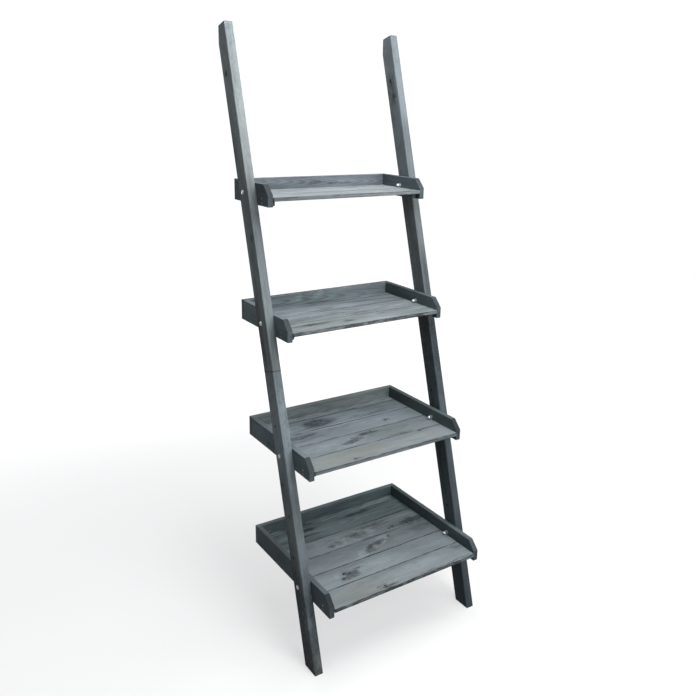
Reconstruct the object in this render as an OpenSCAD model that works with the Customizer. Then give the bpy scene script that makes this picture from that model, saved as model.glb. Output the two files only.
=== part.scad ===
// Leaning ladder stand for plants: two rails that lean on a wall and carry four open trays.
// Millimetres. +Z is up, +Y points to the wall and the trays face -Y. The origin is on the
// ground, in the middle of the stand's width and depth.

/* [Rails] */
// Width of the stand across the outsides of its two rails
stand_w = 562; // [450:1:800]
// Length of a rail along its front edge, from the foot to the top end
rail_len = 1750; // [1600:1:2000]
// Thickness of a rail, across the stand
rail_t = 25; // [22:0.5:35]
// Depth of a rail, from its front face to its back face
rail_d = 52; // [46:1:70]
// Angle by which the rails lean back from upright, in degrees
lean = 16.2; // [10:0.1:20]
// Length of the lower piece of a rail, from the foot to the joint
lower_len = 822; // [740:1:880]
// Height of the upright cut at the top of a rail, which stands against the wall
wall_cut = 50; // [20:1:80]
// Chamfer on the edges of the rails
rail_ease = 1.5; // [0.5:0.5:4]

/* [Trays] */
// Height of each tray's underside above the ground, bottom tray first
tray_z = [185, 529, 874, 1213]; // [120:1:1300]
// How far each tray reaches in front of its bolts, bottom tray first
tray_reach = [123, 117, 102, 97]; // [70:1:160]
// Height of the side boards and the back board
board_h = 58; // [50:1:90]
// Thickness of the side boards and the back board
board_t = 15; // [12:0.5:20]
// Length of the sloping cut on a side board's top front corner
nose_run = 26; // [10:1:50]
// Height of the sloping cut on a side board's top front corner
nose_drop = 27; // [10:1:32]
// Chamfer on the long edges of the boards
board_ease = 1; // [0.5:0.25:3]

/* [Floor] */
// Number of full slats in each tray, bottom tray first
slats = [5, 4, 3, 2]; // [1:1:6]
// Width of the strip that closes each floor at the back board, bottom tray first
strip_w = [27, 29, 30, 36]; // [15:1:60]
// Width of a full slat
slat_w = 77; // [50:1:110]
// Thickness of a slat
slat_t = 10; // [8:0.5:14]
// Open joint between two slats
slat_gap = 1; // [0.5:0.25:4]
// Height of the slats' underside above the tray's underside
slat_rise = 15; // [12:0.5:20]
// How far the front slat stands proud of the side boards' front ends
slat_nosing = 4; // [1:0.5:12]
// Clearance at the ends of the slats and behind the closing strip
slat_play = 0.25; // [0.1:0.05:0.3]
// Chamfer on the edges of the slats
slat_ease = 0.75; // [0.25:0.25:2]
// Width of the runners that carry the slats along the side boards
runner_w = 15; // [12:0.5:25]
// Height of the runners' underside above the tray's underside
runner_up = 1; // [0:0.5:4]
// How far the runners reach in front of the screws in the side boards
runner_lead = 16.5; // [6:0.5:30]

/* [Bolts] */
// Diameter of the coach bolts that hold the trays
bolt_d = 6; // [5:0.5:8]
// Distance of the bolts behind the rails' front faces
bolt_in = 31; // [24:0.5:34]
// Height of the bolts above the tray's floor
bolt_over_floor = 6.5; // [6.5:0.5:12]
// Diameter of the bolts' mushroom heads
bolt_head_d = 14; // [12:0.5:18]
// Height of the bolts' mushroom heads
bolt_head_h = 3; // [2:0.25:5]
// Side of the square neck under the head
neck_w = 6.5; // [6:0.25:9]
// Length of the square neck under the head
neck_h = 4; // [3:0.5:6]
// Thickness of the washers under the cap nuts
washer_t = 1.2; // [0.8:0.1:2]
// Outer diameter of the washers
washer_d = 12; // [10:0.5:12.5]
// Width of the cap nuts across their flats
nut_af = 10; // [9:0.5:11]
// Height of the cap nuts' six-sided part
nut_hex_h = 5.5; // [4:0.25:8]
// Height of the straight neck between a cap nut's flats and its dome
nut_neck_h = 1.8; // [0.5:0.1:4]
// Distance up the rail from a bolt to the spare bolt hole above it
spare_up = 81; // [60:1:120]

/* [Dowels and screws] */
// Diameter of the wooden pins that keep the trays level
pin_d = 8; // [6:0.5:10]
// Depth of a tray pin in the rail
pin_in_rail = 18; // [10:0.5:20]
// Depth of a tray pin in the side board
pin_in_board = 9; // [6:0.5:10]
// Distance of the tray pins behind the rails' front faces
pin_in = 12; // [10:0.5:14]
// Height of the tray pins above the tray's underside
pin_rise = 14; // [12:0.5:18]
// Diameter of the dowels in the joint of each rail
dowel_d = 10; // [8:0.5:12]
// Length of the dowels in the joint of each rail
dowel_len = 80; // [50:1:110]
// Distance between the two dowels of a rail joint
dowel_pitch = 26; // [20:0.5:30]
// Diameter of the wood screws
screw_d = 3.5; // [3:0.25:4]
// Diameter of the wood screws' countersunk heads
screw_head_d = 7; // [6:0.25:8]
// Length of the screws through the back board
back_screw_len = 40; // [25:1:60]
// Wood left over the tips of the other screws
screw_cover = 4; // [3:0.5:5]
// Clearance round pins, bolts and screws
fit = 0.1; // [0.05:0.05:0.3]
// Extra depth of the holes for pins and dowels
hole_extra = 0.5; // [0.2:0.1:1]

/* [Hidden] */
$fn = 48;

LEVELS = ["bottom", "lower", "upper", "top"];
LEFT = -1;
RIGHT = 1;

// How far a cutter runs past the faces that it opens
over = 1;

wood = "#6f777d";
slat_wood = "#8b9399";
pin_wood = "#c9b48a";
steel = "#c8ccd0";

// Trays, and the trays that have a spare bolt hole above them
trays = [0 : len(LEVELS) - 1];
spare_hole_trays = [0, 1];

// Widths across the stand, between the rails and between the side boards
gap_w = stand_w - 2 * rail_t;
inner_w = gap_w - 2 * board_t;
slat_len = inner_w - 2 * slat_play;

// Heights above a tray's underside
floor_rise = slat_rise + slat_t;
bolt_rise = floor_rise + bolt_over_floor;
runner_h = slat_rise - runner_up;
runner_middle = runner_up + runner_h / 2;

// Bolts and screws
bore_d = bolt_d + 4 * fit;
nut_bore_h = nut_hex_h + nut_neck_h;
bolt_len = rail_t + board_t + washer_t + nut_bore_h - hole_extra;
runner_screw_len = board_t + runner_w - screw_cover;
slat_screw_len = runner_h + slat_t - screw_cover;

// A point s up the rail's front edge and v behind it, as [y, z] with the foot at y = 0
function along(s, v) = [s * sin(lean) + v * cos(lean), s * cos(lean) - v * sin(lean)];

// Where the wall stands, and where the foot stands so that the origin is mid-depth
wall_from_foot = along(rail_len, rail_d - wall_cut * sin(lean))[0];
function bolt_s(i) = (tray_z[i] + bolt_rise + bolt_in * sin(lean)) / cos(lean);
function front_from_foot(i) = along(bolt_s(i), bolt_in)[0] - tray_reach[i];
foot_y = -(wall_from_foot + front_from_foot(0) - slat_nosing) / 2;
wall_y = foot_y + wall_from_foot;
function tray_y(i) = foot_y + front_from_foot(i);

// The floor of tray i, measured back from its side boards' front ends
function slat_y(k) = k * (slat_w + slat_gap) - slat_nosing;
function strip_y(i) = slat_y(slats[i]);
function side_len(i) = strip_y(i) + strip_w[i] + slat_play;

// The screws of tray i: those from the side boards meet the middle of the front slat
front_screw_y = slat_y(0) + slat_w / 2;
runner_y = front_screw_y - runner_lead;
function slat_screw_y(k) = slat_y(k) + slat_w * 2 / 3;
function strip_screw_y(i) = strip_y(i) + strip_w[i] / 2;
function runner_screw_y(i) = (slat_screw_y(slats[i] - 1) + strip_screw_y(i)) / 2;

// Where the tray pin of tray i lies along the rail
function pin_s(i) = (tray_z[i] + pin_rise + pin_in * sin(lean)) / cos(lean);
function pin_y(i) = foot_y + along(pin_s(i), pin_in)[0];
function bolt_y(i) = foot_y + along(bolt_s(i), bolt_in)[0];

function tray_node(i, part) = str(LEVELS[i], "_tray_", part);
function slat_node(i, k) = tray_node(i, str("slat_", k + 1));

// ---- shared shapes ----

// A rectangle from the origin with its corners cut off
module eased_rect(size, ease) {
    x = size[0];
    y = size[1];
    polygon([[ease, 0], [x - ease, 0], [x, ease], [x, y - ease],
        [x - ease, y], [ease, y], [0, y - ease], [0, ease]]);
}

// A bar from the origin with a small chamfer on every edge
module eased_bar(size, ease) {
    intersection() {
        linear_extrude(size[2]) eased_rect([size[0], size[1]], ease);
        translate([0, size[1], 0]) rotate([90, 0, 0]) linear_extrude(size[1])
            eased_rect([size[0], size[2]], ease);
        rotate([90, 0, 90]) linear_extrude(size[0]) eased_rect([size[1], size[2]], ease);
    }
}

// A countersunk wood screw: its head's face is at the origin and it points up +Z
module wood_screw(length, grow = 0) {
    rim_h = 0.3;
    head_h = rim_h + (screw_head_d - screw_d) / 2;
    point_h = 5;
    tip_r = 0.4;
    rotate_extrude() polygon([
        [0, -grow], [screw_head_d / 2 + grow, -grow], [screw_head_d / 2 + grow, rim_h],
        [screw_d / 2 + grow, head_h], [screw_d / 2 + grow, length - point_h],
        [tip_r + grow, length + grow], [0, length + grow]]);
}

// A dowel along +Z from the origin with chamfered ends
module dowel(d, length) {
    nip = 1;
    rotate_extrude() polygon([[0, 0], [d / 2 - nip, 0], [d / 2, nip], [d / 2, length - nip],
        [d / 2 - nip, length], [0, length]]);
}

// Puts a shape drawn for the right side on either side
module on_side(side) {
    if (side == RIGHT) children();
    else mirror([1, 0, 0]) children();
}

// The rail's own frame: Z runs up its front edge, Y goes to its back face
module on_rail() {
    translate([0, foot_y, 0]) rotate([-lean, 0, 0]) children();
}

// The tray's own frame: Y = 0 at the side boards' front ends, Z = 0 at the tray's underside
module on_tray(i) {
    translate([0, tray_y(i), tray_z[i]]) children();
}

// Points +Z of a shape to the outside of the right rail
module pointing_out() {
    rotate([0, 90, 0]) children();
}

// ---- rails ----

// One length of the right rail, from s0 to s1 along its front edge
module rail_length(s0, s1) {
    difference() {
        on_rail() translate([gap_w / 2, 0, s0]) linear_extrude(s1 - s0)
            eased_rect([rail_t, rail_d], rail_ease);
        // The foot is cut level with the ground, and the top upright against the wall
        translate([0, foot_y - rail_d, -2 * rail_d]) cube([stand_w, 3 * rail_d, 2 * rail_d]);
        translate([0, wall_y, 0]) cube([stand_w, 2 * rail_d, 2 * rail_len]);
        for (i = trays) tray_fixing_holes(i);
        for (i = spare_hole_trays) spare_hole(i);
        rail_dowel_holes();
    }
}

// The holes that a tray's bolt and pin need in the right rail
module tray_fixing_holes(i) {
    on_rail() {
        translate([gap_w / 2 - over, bolt_in, bolt_s(i)]) pointing_out()
            cylinder(h = rail_t + 2 * over, d = bore_d);
        translate([stand_w / 2 - neck_h - hole_extra, bolt_in, bolt_s(i)]) pointing_out()
            linear_extrude(2 * neck_h) square(neck_w + 2 * fit, center = true);
        translate([gap_w / 2 - over, pin_in, pin_s(i)]) pointing_out()
            cylinder(h = over + pin_in_rail + hole_extra, d = pin_d + 2 * fit);
    }
}

// A second bolt hole, for setting a tray higher
module spare_hole(i) {
    on_rail() translate([gap_w / 2 - over, bolt_in, bolt_s(i) + spare_up]) pointing_out()
        cylinder(h = rail_t + 2 * over, d = bore_d);
}

// Places what lies on the two dowel axes of the right rail's joint
module at_rail_dowels() {
    for (step = [-0.5, 0.5])
        on_rail() translate([gap_w / 2 + rail_t / 2, rail_d / 2 + step * dowel_pitch,
            lower_len - dowel_len / 2]) children();
}

module rail_dowel_holes() {
    at_rail_dowels() translate([0, 0, -hole_extra])
        cylinder(h = dowel_len + 2 * hole_extra, d = dowel_d + 2 * fit);
}

module lower_rail(side) {
    color(wood) on_side(side) rail_length(0, lower_len);
}

module upper_rail(side) {
    color(wood) on_side(side) rail_length(lower_len, rail_len);
}

module rail_joint_dowels() {
    color(pin_wood) for (side = [LEFT, RIGHT]) on_side(side) at_rail_dowels() dowel(dowel_d, dowel_len);
}

// ---- tray boards ----

// The outline of a side board seen from the side, front end at y = 0
module side_outline(i) {
    polygon([[0, 0], [side_len(i), 0], [side_len(i), board_h], [nose_run, board_h],
        [0, board_h - nose_drop]]);
}

module side_board(i, side) {
    color(wood) on_side(side) on_tray(i) difference() {
        translate([gap_w / 2 - board_t, 0, 0]) intersection() {
            rotate([90, 0, 90]) linear_extrude(board_t) side_outline(i);
            translate([0, side_len(i), 0]) rotate([90, 0, 0]) linear_extrude(side_len(i))
                eased_rect([board_t, board_h], board_ease);
        }
        translate([gap_w / 2 - board_t - over, bolt_y(i) - tray_y(i), bolt_rise]) pointing_out()
            cylinder(h = board_t + 2 * over, d = bore_d);
        translate([gap_w / 2 - pin_in_board - hole_extra, pin_y(i) - tray_y(i), pin_rise]) pointing_out()
            cylinder(h = pin_in_board + hole_extra + over, d = pin_d + 2 * fit);
        at_side_screws() wood_screw(runner_screw_len, fit);
        at_back_screws(i) wood_screw(back_screw_len, fit);
        at_runner_screws(i) wood_screw(runner_screw_len, fit);
    }
}

module back_board(i) {
    color(wood) on_tray(i) difference() {
        translate([-gap_w / 2, side_len(i), 0]) eased_bar([gap_w, board_t, board_h], board_ease);
        for (side = [LEFT, RIGHT]) on_side(side) at_back_screws(i) wood_screw(back_screw_len, fit);
    }
}

// ---- tray floor ----

module runner(i, side) {
    color(wood) on_side(side) on_tray(i) difference() {
        translate([inner_w / 2 - runner_w, runner_y, runner_up])
            eased_bar([runner_w, side_len(i) - runner_y, runner_h], board_ease / 2);
        at_side_screws() wood_screw(runner_screw_len, fit);
        at_runner_screws(i) wood_screw(runner_screw_len, fit);
        at_slat_screws(i) wood_screw(slat_screw_len, fit);
    }
}

// A board of the floor that starts at y and is w wide
module floor_board(i, y, w) {
    color(slat_wood) on_tray(i) difference() {
        translate([-slat_len / 2, y, slat_rise]) eased_bar([slat_len, w, slat_t], slat_ease);
        for (side = [LEFT, RIGHT]) on_side(side) {
            at_side_screws() wood_screw(runner_screw_len, fit);
            at_slat_screws(i) wood_screw(slat_screw_len, fit);
        }
    }
}

module slat(i, k) {
    floor_board(i, slat_y(k), slat_w);
}

module back_strip(i) {
    floor_board(i, strip_y(i), strip_w[i]);
}

// ---- bolts, washers and nuts, drawn for the right side along the bolt's axis ----

module at_bolt(i) {
    translate([gap_w / 2, bolt_y(i), tray_z[i] + bolt_rise]) rotate([-lean, 0, 0]) children();
}

// A coach bolt with a mushroom head outside the rail and a square neck in it
module coach_bolt() {
    head_r = (pow(bolt_head_d / 2, 2) + pow(bolt_head_h, 2)) / (2 * bolt_head_h);
    translate([rail_t, 0, 0]) {
        pointing_out() intersection() {
            translate([0, 0, bolt_head_h - head_r]) sphere(r = head_r, $fn = 96);
            cylinder(h = bolt_head_h, d = bolt_head_d + over);
        }
        translate([-neck_h, -neck_w / 2, -neck_w / 2]) cube([neck_h, neck_w, neck_w]);
        mirror([1, 0, 0]) pointing_out() cylinder(h = bolt_len, d = bolt_d);
    }
}

module washer() {
    translate([-board_t - washer_t, 0, 0]) pointing_out() difference() {
        cylinder(h = washer_t, d = washer_d);
        translate([0, 0, -over]) cylinder(h = washer_t + 2 * over, d = bore_d);
    }
}

// A cap nut: six flats with a dome on them, and a blind hole for the bolt's end
module cap_nut() {
    corner_r = nut_af / 2 / cos(30);
    dome_r = nut_af / 2 - 0.3;
    nip = 0.6;
    translate([-board_t - washer_t, 0, 0]) mirror([1, 0, 0]) pointing_out() difference() {
        union() {
            intersection() {
                cylinder(h = nut_hex_h, r = corner_r, $fn = 6);
                rotate_extrude() polygon([[0, 0], [nut_af / 2, 0], [corner_r + fit, nip],
                    [corner_r + fit, nut_hex_h - nip], [nut_af / 2, nut_hex_h], [0, nut_hex_h]]);
            }
            cylinder(h = nut_bore_h, r = dome_r);
            translate([0, 0, nut_bore_h]) sphere(r = dome_r);
        }
        translate([0, 0, -over]) cylinder(h = nut_bore_h + over, d = bolt_d + fit);
    }
}

module coach_bolts() {
    color(steel) for (i = trays, side = [LEFT, RIGHT]) on_side(side) at_bolt(i) coach_bolt();
}

module washers() {
    color(steel) for (i = trays, side = [LEFT, RIGHT]) on_side(side) at_bolt(i) washer();
}

module cap_nuts() {
    color(steel) for (i = trays, side = [LEFT, RIGHT]) on_side(side) at_bolt(i) cap_nut();
}

module tray_pins() {
    color(pin_wood) for (i = trays, side = [LEFT, RIGHT]) on_side(side)
        translate([gap_w / 2 - pin_in_board, pin_y(i), tray_z[i] + pin_rise]) pointing_out()
            dowel(pin_d, pin_in_board + pin_in_rail);
}

// ---- screws, placed in the tray's own frame on the right side ----

// Through the side board near its front: one into the front slat, one into the runner
module at_side_screws() {
    for (z = [slat_rise + slat_t / 2, runner_middle])
        translate([gap_w / 2, front_screw_y, z]) mirror([1, 0, 0]) pointing_out() children();
}

// Through the back board into the ends of the side boards
module at_back_screws(i) {
    for (z = [board_h / 4, board_h * 3 / 4])
        translate([gap_w / 2 - board_t / 2, side_len(i) + board_t, z]) rotate([90, 0, 0]) children();
}

// From the runner's inner face into the side board, near the back
module at_runner_screws(i) {
    translate([inner_w / 2 - runner_w, runner_screw_y(i), runner_middle]) pointing_out() children();
}

// Up through the runner into each slat and the strip
module at_slat_screws(i) {
    for (y = concat([for (k = [0 : slats[i] - 1]) slat_screw_y(k)], [strip_screw_y(i)]))
        translate([inner_w / 2 - runner_w / 2, y, runner_up]) children();
}

module side_screws() {
    color(steel) for (i = trays, side = [LEFT, RIGHT]) on_side(side) on_tray(i)
        at_side_screws() wood_screw(runner_screw_len);
}

module back_board_screws() {
    color(steel) for (i = trays, side = [LEFT, RIGHT]) on_side(side) on_tray(i)
        at_back_screws(i) wood_screw(back_screw_len);
}

module runner_screws() {
    color(steel) for (i = trays, side = [LEFT, RIGHT]) on_side(side) on_tray(i)
        at_runner_screws(i) wood_screw(runner_screw_len);
}

module slat_screws() {
    color(steel) for (i = trays, side = [LEFT, RIGHT]) on_side(side) on_tray(i)
        at_slat_screws(i) wood_screw(slat_screw_len);
}

// ---- the nodes ----

lower_rail(LEFT);  // left_rail_lower
upper_rail(LEFT);  // left_rail_upper
lower_rail(RIGHT);  // right_rail_lower
upper_rail(RIGHT);  // right_rail_upper
rail_joint_dowels();
for (i = trays) {
    side_board(i, LEFT);
    side_board(i, RIGHT);
    back_board(i);
    runner(i, LEFT);
    runner(i, RIGHT);
    for (k = [0 : slats[i] - 1])
        slat(i, k);
    back_strip(i);
}
coach_bolts();
washers();
cap_nuts();
tray_pins();
side_screws();
back_board_screws();
runner_screws();
slat_screws();
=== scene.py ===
# %% [markdown]
# # A ladder stand for plants
#
# The stand is two leaning rails with four slatted trays bolted between them, all of softwood under
# a thin grey-blue stain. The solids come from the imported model, and every board keeps its place and
# size. This script gives each board its own piece of timber to look at: rings, fibre, knots and
# stain that run along that board and no other.

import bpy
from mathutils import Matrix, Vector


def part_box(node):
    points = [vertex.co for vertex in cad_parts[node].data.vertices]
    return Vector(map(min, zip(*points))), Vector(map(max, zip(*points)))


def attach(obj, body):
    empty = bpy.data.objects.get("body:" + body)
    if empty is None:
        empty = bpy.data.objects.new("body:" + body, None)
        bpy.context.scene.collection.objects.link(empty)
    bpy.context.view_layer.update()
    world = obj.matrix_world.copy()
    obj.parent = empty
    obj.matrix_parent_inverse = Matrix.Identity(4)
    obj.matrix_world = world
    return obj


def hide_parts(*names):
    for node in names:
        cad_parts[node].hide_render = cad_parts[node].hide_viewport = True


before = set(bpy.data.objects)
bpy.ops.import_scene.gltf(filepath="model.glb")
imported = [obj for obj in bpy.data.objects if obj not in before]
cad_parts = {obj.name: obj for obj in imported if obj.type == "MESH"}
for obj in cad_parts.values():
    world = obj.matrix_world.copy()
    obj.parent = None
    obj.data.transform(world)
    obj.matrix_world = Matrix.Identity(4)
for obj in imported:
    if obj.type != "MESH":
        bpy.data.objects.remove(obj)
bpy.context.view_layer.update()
print("pieces in the frame:", len(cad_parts))

# %% [markdown]
# ## Sizes
#
# The frame is in metres, with z up and the stand's front towards -y. The rails lean back by LEAN.
# Knots and stain patches are easier to give in millimetres, so MM turns those into metres.


# %% The other imports and the sizes in metres
import math

import bmesh
import bpy
from mathutils import Matrix, Vector

MM = 0.001
LEAN = math.radians(16.2)
RAIL_THICK = 25 * MM
RAIL_DEEP = 52 * MM
FOOT_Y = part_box("left_rail_lower")[0].y
print("the rails' front edge meets the ground at y =", round(FOOT_Y, 4))

# %% [markdown]
# ## Small helpers for shader nodes
#
# A shader is a graph, and most of the lines that build one only add a node and join two sockets.
# These helpers do both at once: they take numbers or sockets for a node's inputs, and hand back the
# socket that comes out, so that a formula reads in one line.


# %% Node helpers
def put(tree, socket, value):
    """Joins a socket to an input, or sets the input to a plain value."""
    if isinstance(value, bpy.types.NodeSocket):
        tree.links.new(value, socket)
    else:
        socket.default_value = value


def add(tree, kind, inputs=None, **settings):
    """A new node with its settings made and its inputs fed."""
    node = tree.nodes.new(kind)
    for name, value in settings.items():
        setattr(node, name, value)
    for key, value in (inputs or {}).items():
        put(tree, node.inputs[key], value)
    return node


def calc(tree, operation, *values):
    """One step of arithmetic on numbers."""
    return add(tree, "ShaderNodeMath", dict(enumerate(values)), operation=operation).outputs[0]


def vector_calc(tree, operation, *values):
    """One step of arithmetic on vectors."""
    return add(tree, "ShaderNodeVectorMath", dict(enumerate(values)), operation=operation).outputs[0]


def scaled(tree, vector, factor):
    """A vector made longer or shorter."""
    return add(tree, "ShaderNodeVectorMath", {0: vector, "Scale": factor}, operation="SCALE").outputs[0]


def dot(tree, first, second):
    """How far two directions agree, from -1 to 1."""
    return add(tree, "ShaderNodeVectorMath", {0: first, 1: second}, operation="DOT_PRODUCT").outputs["Value"]


def parts(tree, vector):
    """The three parts of a vector."""
    return add(tree, "ShaderNodeSeparateXYZ", {0: vector}).outputs


def hypotenuse(tree, first, second):
    """The length that two offsets at a right angle add up to."""
    squares = [calc(tree, "POWER", offset, 2.0) for offset in (first, second)]
    return calc(tree, "SQRT", calc(tree, "ADD", *squares))


def ramp(tree, value, low, high, to_low=0.0, to_high=1.0):
    """A smooth step from to_low to to_high while the value goes from low to high."""
    inputs = {0: value, 1: low, 2: high, 3: to_low, 4: to_high}
    return add(tree, "ShaderNodeMapRange", inputs, interpolation_type="SMOOTHSTEP").outputs[0]


def blend(tree, share, first, second, mode="MIX"):
    """Mixes two colours. Sockets 6 and 7 are the node's colour inputs."""
    inputs = {0: share, 6: first, 7: second}
    return add(tree, "ShaderNodeMix", inputs, data_type="RGBA", blend_type=mode).outputs[2]


def noise(tree, vector, seed, waves, layer=0.0, detail=2.0, roughness=0.5):
    """Seeded noise with so many waves a metre along, across and through the board.

    Layers of noise that share a board's seed get a layer number each, so that they differ.
    """
    if layer:
        seed = calc(tree, "ADD", seed, layer)
    stretched = vector_calc(tree, "MULTIPLY", vector, waves)
    inputs = {"Vector": stretched, "W": seed, "Scale": 1.0, "Detail": detail, "Roughness": roughness}
    return add(tree, "ShaderNodeTexNoise", inputs, noise_dimensions="4D").outputs


def around_nought(tree, colour):
    """Noise colours run from 0 to 1. This moves their middle to 0, for pushing points about."""
    return vector_calc(tree, "SUBTRACT", colour, (0.5, 0.5, 0.5))


def new_group(name, inputs, outputs):
    """An empty shader group with named sockets, and its two end nodes.

    An input's first value says its kind: a number, a vector of three or a colour of four.
    """
    group = bpy.data.node_groups.new(name, "ShaderNodeTree")
    for label, value in inputs.items():
        kind = {3: "Vector", 4: "Color"}[len(value)] if isinstance(value, tuple) else "Float"
        socket = group.interface.new_socket(name=label, in_out="INPUT", socket_type="NodeSocket" + kind)
        socket.default_value = value
    for label in outputs:
        kind = "Color" if label == "Color" else "Float"
        group.interface.new_socket(name=label, in_out="OUTPUT", socket_type="NodeSocket" + kind)
    return group, group.nodes.new("NodeGroupInput").outputs, group.nodes.new("NodeGroupOutput").inputs


def tell(*groups):
    """Says how large the new groups are."""
    for group in groups:
        print("group:", group.name, "with", len(group.nodes), "nodes")


def empty_material(name):
    """A material whose tree is still empty, and the tree."""
    material = bpy.data.materials.new(name)
    material.use_nodes = True
    material.node_tree.nodes.clear()
    return material, material.node_tree


def surface(tree, shader):
    """Makes a shader the surface of the tree's material."""
    tree.links.new(shader, add(tree, "ShaderNodeOutputMaterial").inputs["Surface"])


def use(tree, group, inputs):
    """A copy of a group in a tree, with its inputs fed."""
    return add(tree, "ShaderNodeGroup", inputs, node_tree=group).outputs


ORIGIN = (0, 0, 0)
print("helpers ready")

# %% [markdown]
# ## Rings and fibre
#
# A plank is a slice of a trunk. If the trunk's rings are written as distance from its pith, then
# slicing them gives straight lines, arches and end grain by itself, on every face at once, and the
# lines meet at the edges as real ones do. The pith lies outside the board and leans a little
# against it, which makes the long arches. Fibre and streaks are noise drawn out along the board.


# %% The group for rings and fibre
def make_timber():
    group, given, result = new_group("timber", {
        "Board": ORIGIN, "Seed": 0.0, "Pith Across": 0.01, "Pith Below": 0.06, "Lean Across": 0.01,
        "Lean Below": 0.04, "Ring Width": 0.004, "Wobble": 0.012, "Streak Fineness": 1.0, "Swell": 0.0,
    }, ["Rings", "Fibre", "Streaks", "Patches"])
    board, seed = given["Board"], given["Seed"]
    drift = around_nought(group, noise(group, board, seed, (4.0, 13.0, 13.0), detail=1.5)["Color"])
    bent = vector_calc(group, "ADD", board, scaled(group, drift, given["Wobble"]))
    axes = parts(group, bent)
    across = calc(group, "MULTIPLY_ADD", axes[0], given["Lean Across"], axes[1])
    across = calc(group, "SUBTRACT", across, given["Pith Across"])
    below = calc(group, "MULTIPLY_ADD", axes[0], given["Lean Below"], axes[2])
    below = calc(group, "ADD", below, given["Pith Below"])
    from_pith = calc(group, "ADD", hypotenuse(group, across, below), given["Swell"])
    season = calc(group, "FRACT", calc(group, "DIVIDE", from_pith, given["Ring Width"]))
    # A ring darkens slowly from spring on and stops at once in winter.
    late = calc(group, "MULTIPLY", ramp(group, season, 0.25, 0.9), ramp(group, season, 1.0, 0.93))
    # The rings fade to a quarter of their strength here and there along the board.
    strength = noise(group, board, seed, (1.5, 30.0, 30.0), layer=3.1)[0]
    rings = calc(group, "MULTIPLY", late, ramp(group, strength, 0.3, 0.7, 0.25, 1.0))
    fibre = noise(group, bent, seed, (14.0, 900.0, 900.0), layer=7.3)[0]
    finer = scaled(group, bent, given["Streak Fineness"])
    streaks = noise(group, finer, seed, (2.6, 90.0, 90.0), layer=11.9, detail=6.0, roughness=0.68)[0]
    patches = noise(group, bent, seed, (5.0, 14.0, 14.0), layer=17.7, detail=5.0, roughness=0.6)[0]
    put(group, result["Rings"], rings)
    # Noise stays close to its middle, so each ramp stretches it out to 0 and 1.
    put(group, result["Fibre"], ramp(group, fibre, 0.25, 0.75))
    put(group, result["Streaks"], ramp(group, streaks, 0.28, 0.72))
    put(group, result["Patches"], ramp(group, patches, 0.3, 0.7))
    return group


timber = make_timber()
tell(timber)

# %% [markdown]
# ## Knots and clouds
#
# A knot is the root of a branch that the tree grew around. It shows as a hard, dark disc, and the
# rings part and close again around it. The knot group makes both: a core for the colour, and a
# swelling that is added to the distance from the pith, so that the rings bend. A cloud is a place
# where the wood drank more stain or less, often beside a knot. It is only a soft, ragged patch. A
# few clouds are painted shade and painted light instead of stain.


# %% The groups for one knot and one cloud
KNOT_STRETCH = 1.35
PLACE = {"Board": ORIGIN, "Along": 0.0, "Across": 0.0}


def offsets(tree, given, point):
    """How far a point lies from the group's own place, along and across the board."""
    axes = parts(tree, point)
    return [calc(tree, "SUBTRACT", axes[part], given[key]) for part, key in enumerate(("Along", "Across"))]


def make_knot():
    group, given, result = new_group("knot", {
        **PLACE, "Radius": 0.006, "Swell": 0.0, "Core": 0.0, "Halo": 0.0,
    }, ["Swell", "Core", "Halo"])
    along, across = offsets(group, given, given["Board"])
    away = hypotenuse(group, calc(group, "DIVIDE", along, KNOT_STRETCH), across)
    ragged = noise(group, given["Board"], 5.0, (150.0, 150.0, 20.0), detail=3.0)[0]
    # From here on the distance counts in radii of the knot.
    distance = calc(group, "DIVIDE", away, given["Radius"])
    distance = calc(group, "ADD", distance, ramp(group, ragged, 0.25, 0.75, -0.4, 0.4))
    bell = calc(group, "EXPONENT", calc(group, "MULTIPLY", calc(group, "POWER", distance, 2.0), -0.12))
    swell = calc(group, "MULTIPLY", bell, calc(group, "MULTIPLY", given["Radius"], 2.0))
    put(group, result["Swell"], calc(group, "ADD", given["Swell"], swell))
    put(group, result["Core"], calc(group, "MAXIMUM", given["Core"], ramp(group, distance, 1.12, 0.9)))
    put(group, result["Halo"], calc(group, "MAXIMUM", given["Halo"], ramp(group, distance, 4.0, 0.9)))
    return group


def make_cloud():
    group, given, result = new_group("cloud", {
        **PLACE, "Length": 0.05, "Breadth": 0.02, "Strength": 0.5, "Mask": 0.0,
    }, ["Mask"])
    board = given["Board"]
    seed = calc(group, "MULTIPLY", given["Along"], 31.0)
    ragged = noise(group, board, seed, (22.0, 60.0, 60.0), detail=3.0, roughness=0.6)["Color"]
    push = vector_calc(group, "MULTIPLY", around_nought(group, ragged), (0.06, 0.03, 0.0))
    along, across = offsets(group, given, vector_calc(group, "ADD", board, push))
    along = calc(group, "DIVIDE", along, given["Length"])
    across = calc(group, "DIVIDE", across, given["Breadth"])
    soft = ramp(group, hypotenuse(group, along, across), 1.35, 0.45)
    flecks = noise(group, board, seed, (90.0, 260.0, 260.0), layer=4.0, detail=3.0, roughness=0.6)[0]
    broken = calc(group, "MULTIPLY", soft, ramp(group, flecks, 0.38, 0.56, 0.5, 1.25))
    cloudy = calc(group, "MULTIPLY", broken, given["Strength"])
    put(group, result["Mask"], calc(group, "MAXIMUM", given["Mask"], cloudy))
    return group


knot, cloud = make_knot(), make_cloud()
tell(knot, cloud)

# %% [markdown]
# ## Flames
#
# Where a flat-sawn board cuts through the top of a swelling in the rings, the rings close to a long
# pointed figure that woodworkers call a flame. The early wood at its rim takes little stain and
# stays pale, and the hard wood inside goes dark. The group draws it as an oval, pulled to a point
# at both ends and bent by noise, with one mask for the rim and one for the inside.


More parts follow.
